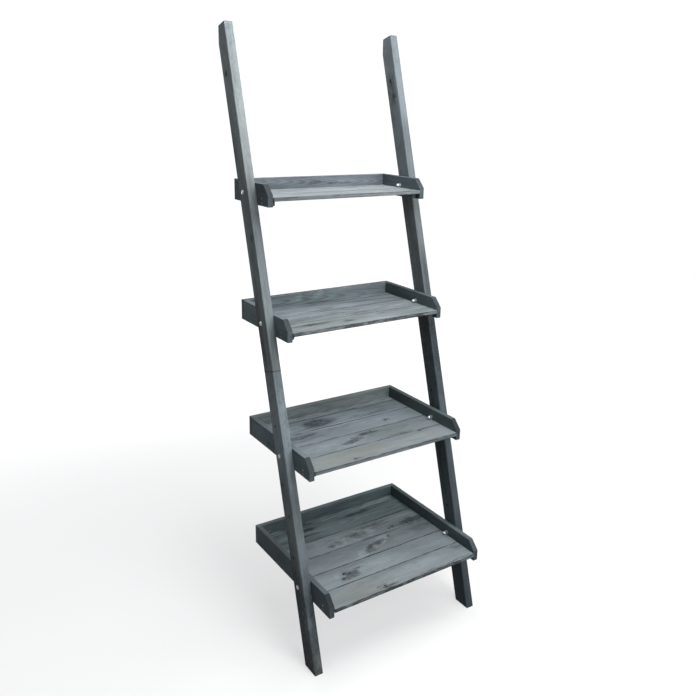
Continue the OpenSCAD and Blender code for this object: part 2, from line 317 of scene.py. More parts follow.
# %% The group for a flame
def make_flame():
    group, given, result = new_group("flame", {
        **PLACE, "Length": 0.05, "Breadth": 0.02, "Slant": 0.0, "Strength": 1.0, "Rim": 0.0, "Inside": 0.0,
    }, ["Rim", "Inside"])
    board = given["Board"]
    seed = calc(group, "MULTIPLY", given["Across"], 57.0)
    bend = around_nought(group, noise(group, board, seed, (30.0, 60.0, 60.0))["Color"])
    bend = vector_calc(group, "MULTIPLY", bend, (0.07, 0.036, 0.0))
    along, across = offsets(group, given, vector_calc(group, "ADD", board, bend))
    across = calc(group, "SUBTRACT", across, calc(group, "MULTIPLY", along, given["Slant"]))
    along = calc(group, "ABSOLUTE", calc(group, "DIVIDE", along, given["Length"]))
    across = calc(group, "ABSOLUTE", calc(group, "DIVIDE", across, given["Breadth"]))
    # Powers under 2 pull the oval to a point at both ends. Its outline is where the reach is 1.
    reach = calc(group, "ADD", calc(group, "POWER", along, 1.4), calc(group, "POWER", across, 1.7))
    broken = noise(group, board, seed, (60.0, 120.0, 120.0), layer=6.0, detail=3.0, roughness=0.6)[0]
    rim = ramp(group, calc(group, "ABSOLUTE", calc(group, "SUBTRACT", reach, 1.0)), 0.36, 0.06)
    rim = calc(group, "MULTIPLY", rim, ramp(group, broken, 0.38, 0.6))
    inside = ramp(group, calc(group, "MULTIPLY_ADD", broken, 1.6, reach), 1.5, 0.8, 0.0, 0.75)
    for key, mask in (("Rim", rim), ("Inside", inside)):
        strong = calc(group, "MULTIPLY", mask, given["Strength"])
        put(group, result[key], calc(group, "MAXIMUM", given[key], strong))
    return group


flame = make_flame()
tell(flame)

# %% [markdown]
# ## Rubbed edges, edge highlights and gap shade
#
# Handling and sanding wear the stain thin along the edges, and the paler strip also stands in for
# the highlights on the arrises, as painted highlight. On slats and strips the strip is darkened
# instead, as painted shade for the gaps between them. The board's own coordinates say how far a
# point is from the nearest long edge, so no extra geometry and no baking is needed. A little noise
# keeps the line from looking drawn.


# %% The group for rubbed edges, edge highlights and gap shade
def make_edges():
    group, given, result = new_group("edge_wear_highlight_and_shade", {
        "Board": ORIGIN, "Half Width": 0.03, "Half Thickness": 0.007, "Seed": 0.0,
    }, ["Edge"])
    axes = parts(group, given["Board"])
    aside = calc(group, "SUBTRACT", given["Half Width"], calc(group, "ABSOLUTE", axes[1]))
    above = calc(group, "SUBTRACT", given["Half Thickness"], calc(group, "ABSOLUTE", axes[2]))
    distance = calc(group, "MAXIMUM", aside, above)
    worn = noise(group, given["Board"], given["Seed"], (25.0, 60.0, 60.0), detail=4.0, roughness=0.65)[0]
    # The strip is from 0.6 to 4.5 mm wide.
    reach = ramp(group, worn, 0.35, 0.75, 0.0006, 0.0045)
    put(group, result["Edge"], ramp(group, calc(group, "DIVIDE", distance, reach), 1.0, 0.2))
    return group


edges = make_edges()
tell(edges)

# %% [markdown]
# ## Bolt bores and the joint line
#
# Little light finds its way into a narrow bolt bore, so from outside it reads as a black dot. The
# bore group marks all points of a rail within a small distance of the bore's axis, which is the
# lining of the bore, and the lining is painted near black as painted shade. Where the two lengths
# of a rail butt together, a thin dark line is seen, which the seam group marks.


# %% The groups for a bore and a seam
def make_bore():
    group, given, result = new_group("bore", {**PLACE, "Radius": 0.0035, "Mask": 0.0}, ["Mask"])
    away = hypotenuse(group, *offsets(group, given, given["Board"]))
    share = calc(group, "DIVIDE", away, given["Radius"])
    put(group, result["Mask"], calc(group, "MAXIMUM", given["Mask"], ramp(group, share, 1.03, 0.99)))
    return group


def make_seam():
    group, given, result = new_group("seam", {
        "Board": ORIGIN, "Along": 0.0, "Half Width": 0.0008, "Seed": 0.0,
    }, ["Mask"])
    away = calc(group, "SUBTRACT", parts(group, given["Board"])[0], given["Along"])
    worn = noise(group, given["Board"], given["Seed"], (90.0, 90.0, 90.0), detail=3.0)[0]
    reach = calc(group, "MULTIPLY", given["Half Width"], ramp(group, worn, 0.3, 0.7, 0.6, 1.6))
    share = calc(group, "DIVIDE", calc(group, "ABSOLUTE", away), reach)
    put(group, result["Mask"], ramp(group, share, 1.3, 0.7))
    return group


bore, seam = make_bore(), make_seam()
tell(bore, seam)

# %% [markdown]
# ## The stain
#
# The stain is thin, so the timber shows through it. It starts from a middle tone, and rings,
# streaks, patches and fibre push it a little darker or paler. Knots and end grain drink most and
# turn darkest. Where the brush left less, the wood's own brown comes up. The same masks drive the
# height, so hard late wood stands a hair proud of the soft early wood.


# %% The group for the stain
MIDDLE_DARKNESS = 0.40
BROWNER = (1.08, 1.0, 0.89, 1)
# The second colour is painted shade for the lining of a bolt bore.
KNOT_COLOUR, BORE_PAINTED_SHADE = (0.016, 0.015, 0.014, 1), (0.004, 0.004, 0.004, 1)


def make_stain():
    group, given, result = new_group("stain", {
        "Pale": (0.3, 0.34, 0.36, 1), "Dark": (0.06, 0.07, 0.08, 1),
        "Ring Show": 0.4, "Streak Show": 0.4, "Patch Show": 0.5,
        "Rings": 0.0, "Fibre": 0.5, "Streaks": 0.5, "Patches": 0.5, "Core": 0.0, "Bore": 0.0, "Halo": 0.0,
        "Dark Cloud": 0.0, "Pale Cloud": 0.0, "Warm Cloud": 0.0, "Edge": 0.0, "Edge Show": -0.28, "End": 0.0,
    }, ["Color", "Roughness", "Height"])

    def pushed(darkness, mask, middle, show):
        """Darkness moved up or down by how far a mask is from its middle."""
        return calc(group, "MULTIPLY_ADD", calc(group, "SUBTRACT", given[mask], middle), show, darkness)

    ring_show = calc(group, "MULTIPLY_ADD", given["Halo"], 0.5, given["Ring Show"])
    dark = pushed(MIDDLE_DARKNESS, "Rings", 0.25, ring_show)
    dark = pushed(dark, "Streaks", 0.5, given["Streak Show"])
    dark = pushed(dark, "Patches", 0.5, given["Patch Show"])
    dark = pushed(dark, "Fibre", 0.5, 0.14)
    # Dark clouds, pale clouds and edges are stain and wear on most boards, and painted shade and painted
    # light on some.
    weights = {"Halo": 0.22, "Dark Cloud": 0.55, "Pale Cloud": -0.45, "Edge": given["Edge Show"], "End": 0.5}
    for mask, weight in weights.items():
        dark = calc(group, "MULTIPLY_ADD", given[mask], weight, dark)
    dark = add(group, "ShaderNodeClamp", {0: dark}).outputs[0]
    colour = blend(group, dark, given["Pale"], given["Dark"])
    colour = blend(group, given["Warm Cloud"], colour, blend(group, 1.0, colour, BROWNER, "MULTIPLY"))
    colour = blend(group, calc(group, "MULTIPLY", given["Core"], 0.97), colour, KNOT_COLOUR)
    put(group, result["Color"], blend(group, given["Bore"], colour, BORE_PAINTED_SHADE))
    # Fibre is rougher, and a knot is smoother, than the wood around it.
    rough = calc(group, "MULTIPLY_ADD", given["Fibre"], 0.14, 0.58)
    put(group, result["Roughness"], calc(group, "MULTIPLY_ADD", given["Core"], -0.15, rough))
    height = calc(group, "MULTIPLY_ADD", given["Rings"], 0.5, calc(group, "MULTIPLY", given["Fibre"], -0.6))
    put(group, result["Height"], calc(group, "MULTIPLY_ADD", given["Core"], 0.6, height))
    return group


stain = make_stain()
tell(stain)

# %% [markdown]
# ## Where each board lies
#
# The shader needs to know each board's own directions: along the grain, across its width and
# through its thickness. A Mapping node of the Texture kind undoes a turn and a shift, so given the
# board's middle and its three directions it turns Object coordinates into board coordinates.


# %% Directions of the boards
RAIL_UP = Vector((0, math.sin(LEAN), math.cos(LEAN)))
RAIL_BACK = Vector((0, math.cos(LEAN), -math.sin(LEAN)))
X, Y, Z = Vector((1, 0, 0)), Vector((0, 1, 0)), Vector((0, 0, 1))


def is_rail(name):
    """True for the lengths of the rails, and not for the dowels that join them."""
    return "rail_" in name and "dowel" not in name


def directions(name):
    """Along, across and through the board, as unit vectors."""
    if "rail_" in name:
        return RAIL_UP, RAIL_BACK, -X
    if name.endswith("_side") or name.endswith("_runner"):
        return Y, Z, X
    if name.endswith("back_board"):
        return X, Z, -Y
    return X, Y, Z


def middle(name):
    """The point that a board's own coordinates count from. On a rail it is at the foot."""
    low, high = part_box(name)
    if is_rail(name):
        return Vector(((low.x + high.x) / 2, FOOT_Y, 0)) + RAIL_BACK * RAIL_DEEP / 2
    return (low + high) / 2


def half_section(name):
    """Half the width and half the thickness of a board."""
    if "rail_" in name:
        return RAIL_DEEP / 2, RAIL_THICK / 2
    low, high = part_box(name)
    across, through = directions(name)[1:]
    return abs((high - low).dot(across)) / 2, abs((high - low).dot(through)) / 2


print("half a slat's section:", half_section("top_tray_slat_1"))

# %% [markdown]
# ## The material of one board
#
# No two boards of a real stand look alike, so each gets a material of its own. They all use the
# same groups. What differs is the seed, the place of the pith, the tone and hue of the stain, and
# the knots and clouds, which are given in millimetres along and across the board from its middle.
# A hue says how much red and blue the stain has beside its green. The two last numbers of a flame
# are its slant and its strength, and the last number of a cloud is its strength.


# %% One board's material
SLAT_STAIN, BOARD_STAIN, RAIL_STAIN, BARE_WOOD = 0.150, 0.097, 0.097, 0.42
PALEST, DARKEST = 1.62, 0.28
# The first number pales the edges, as wear and as painted highlight. The second darkens the edges of slats
# and strips, as painted shade for the gaps between them.
EDGE_WEAR_AND_HIGHLIGHT, SLAT_GAP_SHADE = -0.2, 0.65


def spot(board, along, across, **sizes):
    """A group's inputs for a mark on a board, with its place and sizes turned into metres."""
    in_metres = {label: size * MM for label, size in sizes.items()}
    return {"Board": board, "Along": along * MM, "Across": across * MM, **in_metres}


def stained_wood(name, seed, stain_level, tone=1.0, hue=(0.86, 1.06), rings=0.25, streaks=0.22,
                 patches=0.4, fine=1.6, ring=3.6, pith=(8, 55), lean=(0.01, 0.05), wobble=12,
                 edge_show=EDGE_WEAR_AND_HIGHLIGHT, nose=1.0, knots=(), flames=(), dark=(), pale=(), warm=(),
                 bores=(), seam_at=None):
    material, tree = empty_material("stained_" + name)
    grain_way, across_way, through_way = directions(name)
    turn = Matrix((grain_way, across_way, through_way)).transposed().to_euler()
    place = add(tree, "ShaderNodeTexCoord").outputs["Object"]
    to_board = {"Vector": place, "Location": middle(name), "Rotation": turn}
    board = add(tree, "ShaderNodeMapping", to_board, vector_type="TEXTURE").outputs[0]
    marks = {"Swell": 0.0, "Core": 0.0, "Halo": 0.0}
    for along, across, radius in knots:
        found = use(tree, knot, {**spot(board, along, across, Radius=radius), **marks})
        marks = {key: found[key] for key in marks}
    figure = {"Rim": 0.0, "Inside": 0.0}
    for along, across, length, breadth, slant, strength in flames:
        inputs = spot(board, along, across, Length=length, Breadth=breadth)
        found = use(tree, flame, {**inputs, "Slant": slant, "Strength": strength, **figure})
        figure = {key: found[key] for key in figure}
    clouds = {"Dark Cloud": figure["Inside"], "Pale Cloud": figure["Rim"], "Warm Cloud": 0.0}
    for key, places in zip(clouds, (dark, pale, warm)):
        for along, across, length, breadth, strength in places:
            inputs = spot(board, along, across, Length=length, Breadth=breadth)
            clouds[key] = use(tree, cloud, {**inputs, "Strength": strength, "Mask": clouds[key]})["Mask"]
    # The linings of the bores get painted shade.
    bore_shade = 0.0
    for along, across, radius in bores:
        bore_shade = use(tree, bore, {**spot(board, along, across, Radius=radius), "Mask": bore_shade})["Mask"]
    if seam_at is not None:
        line = use(tree, seam, {"Board": board, "Along": seam_at * MM, "Seed": seed})["Mask"]
        marks["Core"] = calc(tree, "MAXIMUM", line, marks["Core"])
    grain = use(tree, timber, {
        "Board": board, "Seed": seed, "Swell": marks["Swell"], "Wobble": wobble * MM,
        "Ring Width": ring * MM, "Streak Fineness": fine, "Pith Across": pith[0] * MM,
        "Pith Below": pith[1] * MM, "Lean Across": lean[0], "Lean Below": lean[1],
    })
    half_width, half_thick = half_section(name)
    section = {"Board": board, "Half Width": half_width, "Half Thickness": half_thick, "Seed": seed}
    # Faces that look along the grain are end grain. On a slope the cut fibres count by nose.
    normal = add(tree, "ShaderNodeNewGeometry").outputs["Normal"]
    facing = calc(tree, "ABSOLUTE", dot(tree, normal, grain_way))
    end = calc(tree, "MULTIPLY", ramp(tree, facing, 0.35, 0.7), ramp(tree, facing, 0.85, 0.97, nose, 0.25))
    middle_tone = [stain_level * tone * part for part in (hue[0], 1.0, hue[1])]
    coat = use(tree, stain, {
        "Pale": [PALEST * part for part in middle_tone] + [1],
        "Dark": [DARKEST * part for part in middle_tone] + [1],
        "Ring Show": rings, "Streak Show": streaks, "Patch Show": patches, "Edge Show": edge_show,
        **{key: grain[key] for key in ("Rings", "Fibre", "Streaks", "Patches")}, **clouds,
        "Core": marks["Core"], "Halo": marks["Halo"], "Bore": bore_shade, "End": end,
        "Edge": use(tree, edges, section)["Edge"],
    })
    relief = {"Strength": 0.35, "Distance": 0.0006, "Height": coat["Height"]}
    surface(tree, add(tree, "ShaderNodeBsdfPrincipled", {
        "Base Color": coat["Color"], "Roughness": coat["Roughness"], "Specular IOR Level": 0.2,
        "Normal": add(tree, "ShaderNodeBump", relief).outputs[0],
    }).outputs[0])
    return material


def dress(name, material):
    """Gives a CAD node its material."""
    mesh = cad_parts[name].data
    mesh.materials.clear()
    mesh.materials.append(material)


print("a slat's middle tone:", SLAT_STAIN)

# %% [markdown]
# ## The looks of the rails
#
# Each rail is joined from two lengths that came from different planks, so the upper length is paler
# than the lower one. The right rail's lengths are darker than the left rail's, partly as painted
# shade: their tones were fitted down to the shade their faces sit in. The foot of the left rail has
# scuffed through to brown wood. The lower lengths have two spare bores each, and all four lengths
# show the line of the joint.

# %% Rails
JOINT_AT = 822
SPARE_BORES = [(along, 5, 3.3) for along in (315.5, 673.7)]
RAIL_LOOK = dict(rings=0.2, streaks=0.2, patches=0.55, seam_at=JOINT_AT)
looks = {
    "left_rail_lower": dict(
        RAIL_LOOK, tone=1.25, hue=(0.82, 1.10), pith=(-30, 40), lean=(0.012, 0.01),
        knots=[(513, 10, 4.5), (428, -2, 3)],
        dark=[
            (90, 12, 240, 44, 1.0), (110, 22, 190, 24, 1.3), (330, 14, 80, 30, 0.5), (800, 20, 60, 30, 0.5),
        ],
        pale=[(110, -36, 180, 12, 0.9), (690, 6, 150, 44, 1.2)],
        warm=[(15, -26, 50, 30, 1.0), (400, 0, 120, 40, 0.3)], bores=SPARE_BORES,
    ),
    "left_rail_upper": dict(
        RAIL_LOOK, tone=1.34, hue=(0.85, 1.07), rings=0.22, streaks=0.3, pith=(-42, 35), lean=(0.008, 0.01),
        patches=0.5, knots=[(1620, 5, 6.5), (1180, -10, 3)],
        dark=[(850, 22, 70, 24, 0.6), (960, 20, 60, 20, 0.3)],
        pale=[(1500, -20, 160, 25, 0.5), (1690, 0, 120, 60, 0.65)],
        warm=[(1480, -26, 200, 20, 0.5), (830, -10, 40, 30, 0.6), (1000, 10, 80, 30, 0.4)],
    ),
    # The right rail's low tones are partly painted shade.
    "right_rail_lower": dict(
        RAIL_LOOK, tone=0.66, hue=(0.76, 1.14), pith=(34, 44), lean=(0.01, 0.012), knots=[(620, -15, 3.5)],
        dark=[(740, 10, 120, 60, 0.6)], pale=[(420, -20, 120, 20, 0.5)], warm=[(330, 20, 120, 20, 0.4)],
        bores=SPARE_BORES,
    ),
    "right_rail_upper": dict(
        RAIL_LOOK, tone=0.86, hue=(0.84, 1.10), rings=0.25, streaks=0.35, pith=(40, 36), lean=(0.01, 0.01),
        patches=0.5, knots=[(1621, 3, 5.5), (1572, -6, 4.5)],
        dark=[(1590, 6, 60, 20, 0.9), (1530, 12, 60, 12, 0.5), (870, 0, 60, 60, 0.5)],
        pale=[(1660, 0, 130, 60, 0.65), (1570, -24, 70, 10, 0.9)], warm=[(1200, -20, 120, 20, 0.4)],
    ),
}
print("rail pieces with a look:", len(looks))

# %% [markdown]
# ## The looks of the trays
#
# The slats are the palest boards and the ones that are seen best. The two lower trays are flat-sawn
# with large soft clouds beside the knots, and their front slats are a little browner. The two upper
# trays have straight, close grain. Back boards and side boards are a tone darker than the slats. The
# right side boards' low tone is partly painted shade, fitted down to the shade their inner faces sit in.

# %% Bottom tray
FLAT_SAWN = dict(streaks=0.08, patches=0.25)


def add_looks(which, boards):
    """Lists the looks of one tray's boards under the names of their nodes."""
    looks.update({f"{which}_tray_{board}": look for board, look in boards.items()})
    print("boards with a look:", len(looks))


add_looks("bottom", {
    "slat_1": dict(
        FLAT_SAWN, tone=0.97, hue=(0.85, 1.08), rings=0.08, knots=[(-70, -22, 3.6)], pith=(20, 70),
        dark=[
            (-58, -27, 34, 4, 0.9), (-84, -19, 14, 4, 0.8), (150, -33, 130, 5, 0.6), (215, 20, 20, 10, 0.5),
            # The last cloud darkens the slat's front face, as painted shade.
            (0, -41.5, 420, 4, 1.0),
        ],
        pale=[(40, 8, 110, 18, 0.35), (-60, -14, 60, 4, 0.4)],
        warm=[(-130, -8, 110, 30, 0.8), (60, -25, 80, 10, 0.4)],
    ),
    "slat_2": dict(
        FLAT_SAWN, tone=1.08, hue=(0.84, 1.07), rings=0.08,
        knots=[(-137, 4, 5.0), (-149, -14, 4.2), (-121, 1, 2.6)], pith=(-10, 75),
        dark=[(-116, -8, 26, 16, 1.0), (-92, 6, 22, 6, 0.8), (-130, -22, 18, 6, 0.7)],
        pale=[(-150, 2, 22, 16, 0.4), (-40, 6, 90, 20, 0.4), (190, -10, 60, 14, 0.3)],
    ),
    "slat_3": dict(
        FLAT_SAWN, tone=1.00, hue=(0.84, 1.09), rings=0.1, knots=[(82, 19, 2.4)], pith=(0, 60),
        flames=[(8, -4, 62, 17, 0.42, 1.2)], dark=[(-6, -18, 22, 8, 0.8), (200, 10, 40, 20, 0.3)],
        pale=[(-38, -22, 12, 18, 0.6), (62, 22, 40, 3, 0.7)], warm=[(60, -4, 70, 16, 0.5)],
    ),
    "slat_4": dict(
        tone=1.22, hue=(0.82, 1.08), rings=0.2, streaks=0.1, patches=0.3,
        knots=[(125, -21, 3.4), (112, -24, 2.0)], pith=(12, 45),
        flames=[(2, -4, 58, 22, -0.2, 0.9), (-66, -8, 26, 24, 0.3, 0.75)],
        dark=[(-92, -16, 18, 12, 0.8), (205, -20, 54, 15, 1.0), (70, 20, 70, 6, 0.5)],
        pale=[(52, -4, 14, 16, 0.6), (180, 20, 40, 8, 0.4)], warm=[(-10, 0, 80, 20, 0.4)],
    ),
    "slat_5": dict(
        tone=1.09, hue=(0.77, 1.09), rings=0.45, streaks=0.5, fine=1.2, ring=3.0, knots=[(104, 30, 3)],
        pith=(4, 26), lean=(0.02, 0.03), wobble=22,
        dark=[(-115, 22, 40, 9, 0.9), (60, 25, 70, 8, 0.6), (-150, -10, 80, 8, 0.5)],
        pale=[(-199, 10, 30, 20, 0.4)],
    ),
    "back_strip": dict(tone=1.50, hue=(0.77, 1.05), streaks=0.4, dark=[(-130, 0, 60, 12, 0.8)]),
    "back_board": dict(tone=1.23, hue=(0.76, 1.09), pith=(-20, 40), pale=[(-212, 5, 4, 2.5, 1.0)]),
    "left_side": dict(tone=0.68, hue=(0.76, 1.14), nose=1.8, pith=(30, 35)),
    # This board's low tone is partly painted shade.
    "right_side": dict(tone=0.68, hue=(0.76, 1.11), nose=0.2, pith=(-30, 35)),
})

# %% Lower tray
add_looks("lower", {
    "slat_1": dict(
        FLAT_SAWN, tone=0.93, hue=(0.86, 1.07), rings=0.1, knots=[(-107, -24, 2.4), (158, 33, 2.6)],
        pith=(-16, 65), dark=[(120, -35, 120, 5, 0.5), (-98, -26, 16, 4, 0.7)],
        pale=[(120, 5, 80, 14, 0.3)], warm=[(-100, 0, 160, 34, 0.8), (150, 0, 70, 34, 0.4)],
    ),
    "slat_2": dict(
        tone=0.93, hue=(0.84, 1.08), rings=0.15, streaks=0.1, patches=0.3,
        knots=[(-2, 20, 3.4), (32, 27, 3.0)], pith=(8, 58), flames=[(-36, 0, 64, 20, 0.35, 0.8)],
        dark=[(-56, -6, 30, 10, 0.9), (18, 20, 34, 10, 0.8), (97, -30, 50, 5, 0.5)],
        pale=[(-150, 0, 70, 20, 0.4)], warm=[(70, -14, 70, 20, 0.6)],
    ),
    "slat_3": dict(
        FLAT_SAWN, tone=1.07, hue=(0.84, 1.10), rings=0.1, streaks=0.1, knots=[(119, -5, 3.8)],
        pith=(20, 62), dark=[(-172, 13, 60, 12, 0.7), (-160, -10, 70, 8, 0.4)],
        pale=[(-10, 33, 120, 4, 0.9), (60, 10, 90, 20, 0.3)],
    ),
    "slat_4": dict(
        tone=1.11, hue=(0.82, 1.11), streaks=0.4, pith=(-8, 48),
        dark=[(-72, 2, 50, 26, 1.0), (110, -20, 90, 10, 0.4)],
        pale=[(-170, 0, 50, 22, 0.4), (20, 20, 60, 10, 0.3)],
    ),
    "back_strip": dict(tone=1.50, hue=(0.84, 1.06), streaks=0.4, pale=[(-60, 8, 120, 4, 0.6)]),
    "back_board": dict(
        tone=1.36, hue=(0.85, 1.03), rings=0.32, ring=2.6, pith=(10, 24), lean=(0.02, 0.04), wobble=16,
        pale=[(170, -4, 60, 14, 0.4)],
    ),
    "left_side": dict(
        tone=1.08, hue=(0.77, 1.12), nose=2.2, rings=0.3, pith=(24, 32), knots=[(61, -9, 2.5)],
    ),
    # This board's low tone is partly painted shade.
    "right_side": dict(tone=0.68, hue=(0.76, 1.04), nose=1.2, pith=(-24, 30)),
})

# %% Upper tray
CLOSE_GRAIN = dict(streaks=0.5, fine=1.0, ring=3.0, lean=(0.0, 0.02))
add_looks("upper", {
    "slat_1": dict(
        CLOSE_GRAIN, tone=0.91, hue=(0.86, 1.05), pith=(0, 90),
        dark=[
            # The last cloud darkens the slat's front face, as painted shade.
            (-46, -3, 22, 9, 0.9), (120, 20, 110, 4, 0.5), (-170, 10, 60, 5, 0.5), (0, -41.5, 420, 4, 0.9),
        ],
        warm=[(-120, 0, 120, 30, 0.4)],
    ),
    "slat_2": dict(
        CLOSE_GRAIN, tone=1.09, hue=(0.86, 1.06), ring=2.8, pith=(10, 80),
        dark=[(-60, 0, 120, 4, 0.6), (40, -22, 80, 5, 0.5)],
        pale=[(92, 18, 22, 3, 0.9), (171, -5, 24, 4, 0.9), (60, 0, 70, 3, 0.6)],
    ),
    "slat_3": dict(
        CLOSE_GRAIN, tone=1.14, hue=(0.85, 1.09), pith=(-14, 70), lean=(0.0, 0.03),
        dark=[(-58, -22, 50, 8, 0.7), (110, 10, 100, 5, 0.4)],
    ),
    "back_strip": dict(tone=1.08, hue=(0.80, 1.11), streaks=0.8, dark=[(-15, 4, 50, 9, 0.8)]),
    "back_board": dict(
        tone=1.27, hue=(0.82, 1.07), rings=0.3, ring=2.2, streaks=0.4, fine=1.0, pith=(6, 20),
        lean=(0.03, 0.03), dark=[(-10, -18, 60, 7, 0.7), (110, -14, 110, 4, 0.6)],
        pale=[(-5, 18, 14, 9, 0.7), (-70, 14, 12, 10, 0.5)],
    ),
    "left_side": dict(
        # The pale cloud lightens the rear of the board, as painted light.
        tone=1.01, hue=(0.76, 1.09), nose=2.0, rings=0.3, pith=(20, 30), pale=[(125, 0, 90, 90, 0.7)],
    ),
    # This board's low tone is partly painted shade.
    "right_side": dict(tone=0.68, hue=(0.76, 1.09), nose=1.1, pith=(-22, 30)),
})

# %% Top tray
add_looks("top", {
    "slat_1": dict(
        CLOSE_GRAIN, tone=1.04, hue=(0.88, 1.05), rings=0.3, pith=(0, 80), dark=[(60, 10, 160, 3, 0.5)],
    ),
    "slat_2": dict(
        CLOSE_GRAIN, tone=1.04, hue=(0.89, 1.06), rings=0.3, pith=(-10, 70), lean=(0.0, 0.03),
        dark=[(90, -30, 140, 4, 0.5)],
    ),
    "back_strip": dict(tone=0.99, hue=(0.85, 1.09), streaks=0.8),
    "back_board": dict(
        tone=1.00, hue=(0.86, 1.13), rings=0.4, streaks=0.45, fine=1.0, ring=2.0, pith=(14, 16),
        lean=(0.03, 0.05), wobble=14, dark=[(-130, -16, 90, 5, 0.6), (30, 8, 100, 4, 0.5)],
    ),
    "left_side": dict(
        # The pale cloud lightens the rear of the board, as painted light.
        tone=0.68, hue=(0.76, 1.14), nose=1.9, rings=0.3, pith=(22, 30), pale=[(92, 0, 60, 90, 0.7)],
    ),
    # This board's low tone is partly painted shade.
    "right_side": dict(tone=0.68, hue=(0.76, 1.14), pith=(-20, 28)),
})

# %% [markdown]
# ## Dressing the boards
#
# Each board takes its own look from the list above, and a seed of its own for the grain. The long
# edges of slats and strips are darkened, as painted shade for the gaps between neighbours, while the
# edges of the other boards are rubbed pale, which also paints highlights on them. The pins and
# dowels are bare wood, since the stain is put on before the parts are joined.


# %% Every board gets its material
FIRST_SEED, SEED_STEP, FIRST_BARE_SEED = 1, 1.37, 80
boards = [name for name in sorted(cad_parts) if "_tray_" in name or is_rail(name)]


def is_floor(name):
    """True for the boards of a tray's floor."""
    return "slat" in name or "strip" in name


def stain_level(name):
    """How much light the stained wood of this kind of board gives back."""
    if "rail_" in name:
        return RAIL_STAIN
    return SLAT_STAIN if is_floor(name) else BOARD_STAIN


for number, name in enumerate(boards):
    # Slats and strips get painted gap shade on their edges; the other boards get pale wear that is also
    # painted highlight.
    show = SLAT_GAP_SHADE if is_floor(name) else EDGE_WEAR_AND_HIGHLIGHT
    seed = FIRST_SEED + number * SEED_STEP
    dress(name, stained_wood(name, seed, stain_level(name), edge_show=show, **looks.get(name, {})))
for number, name in enumerate(("tray_pins", "rail_joint_dowels")):
    seed = FIRST_BARE_SEED + number
    dress(name, stained_wood(name, seed, BARE_WOOD, hue=(1.45, 0.6), rings=0.2, streaks=0.2, patches=0.2))
print("boards with a material:", len(boards))

# %% [markdown]
# ## Metal
#
# The bolts, washers and nuts are zinc plated, which is bright but never a mirror: the plate has a
# fine mottle that changes the gloss, and grime settles in it. On a bolt's mushroom head the crown
# stays bright, while the rim is painted dark, as painted shade round the head.
# The wood screws have the yellowish plate that such screws mostly have.


# %% Plated metal
# The second colour is painted shade for the rim of a bolt head. The first is grime.
GRIME, RIM_PAINTED_SHADE = (0.16, 0.15, 0.14, 1), (0.07, 0.07, 0.07, 1)


def plated(name, colour, roughness, rim=0.0):
    material, tree = empty_material(name)
    place = add(tree, "ShaderNodeTexCoord").outputs["Object"]
    mottle = ramp(tree, noise(tree, place, 2.0, (900.0, 900.0, 900.0), detail=3.0)[0], 0.3, 0.7)
    grime = noise(tree, place, 9.0, (260.0, 260.0, 260.0), detail=4.0, roughness=0.6)[0]
    grime = ramp(tree, grime, 0.5, 0.75)
    bright = blend(tree, mottle, [0.86 * part for part in colour] + [1], list(colour) + [1])
    # A head's crown faces along X, and its rim turns away from X. The rim is painted dark as painted shade.
    facing = calc(tree, "ABSOLUTE", dot(tree, add(tree, "ShaderNodeNewGeometry").outputs["Normal"], X))
    rim_shade = calc(tree, "MULTIPLY", ramp(tree, facing, 0.86, 0.75), rim)
    bright = blend(tree, rim_shade, bright, RIM_PAINTED_SHADE)
    gloss = ramp(tree, mottle, 0, 1, roughness, roughness + 0.12)
    surface(tree, add(tree, "ShaderNodeBsdfPrincipled", {
        "Base Color": blend(tree, calc(tree, "MULTIPLY", grime, 0.45), bright, GRIME),
        "Roughness": calc(tree, "MULTIPLY_ADD", grime, 0.25, gloss), "Metallic": 1.0,
    }).outputs[0])
    return material


zinc = plated("zinc_plate", (0.9, 0.91, 0.92), 0.24)
# The bolts get painted shade round the rim of the head.
bolt_zinc = plated("bolt_plate", (0.95, 0.96, 0.97), 0.2, rim=0.8)
screw_steel = plated("screw_plate", (0.42, 0.40, 0.36), 0.36)
for name in ("washers", "cap_nuts"):
    dress(name, zinc)
dress("coach_bolts", bolt_zinc)
print("metal:", zinc.name, "and", bolt_zinc.name, "and", screw_steel.name)

# %% [markdown]
# ## Wood screws with a cross recess
#
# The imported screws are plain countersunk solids. A real screw's head has a cross-shaped recess, and
# from close by it is the first thing that tells a screw from a dowel. One screw is modelled upright
# at the origin: a grid of three by three squares without its corners is a cross, a circle is
# bridged to the cross to make the flat of the head, and the head's cone, the shank and the point
# are pulled out of the circle. Then a copy is turned into each packed screw's place.


# %% One screw
SCREW_HEAD, SCREW_SHANK = 7 * MM, 3.5 * MM
CROSS_REACH, CROSS_DEPTH = 0.3, 0.24
ARM_WIDTH, CROSS_TAPER = 0.75, 0.62
POINT_WIDTH = 0.15
ROUND_STEPS = 24
WELD = 1e-6


def only(kind, parts_of_shape):
    """The vertices or the edges among what an operator hands back."""
    return [part for part in parts_of_shape if isinstance(part, kind)]


def make_cross(shape, head):
    """A flat cross in the middle of the head. The grid's lines lie at a third of its reach."""
    bmesh.ops.create_grid(shape, x_segments=3, y_segments=3, size=head * CROSS_REACH)
    inner = head * CROSS_REACH / 3
    centres = {face: face.calc_center_median() for face in shape.faces}
    corners = [face for face, at in centres.items() if abs(at.x) > inner and abs(at.y) > inner]
    bmesh.ops.delete(shape, geom=corners, context="FACES")
    loose = [vert for vert in shape.verts if not vert.link_faces]
    bmesh.ops.delete(shape, geom=loose, context="VERTS")
    for vert in shape.verts:
        for axis in (0, 1):
            if abs(vert.co[axis]) < head * CROSS_REACH / 2:
                vert.co[axis] *= ARM_WIDTH


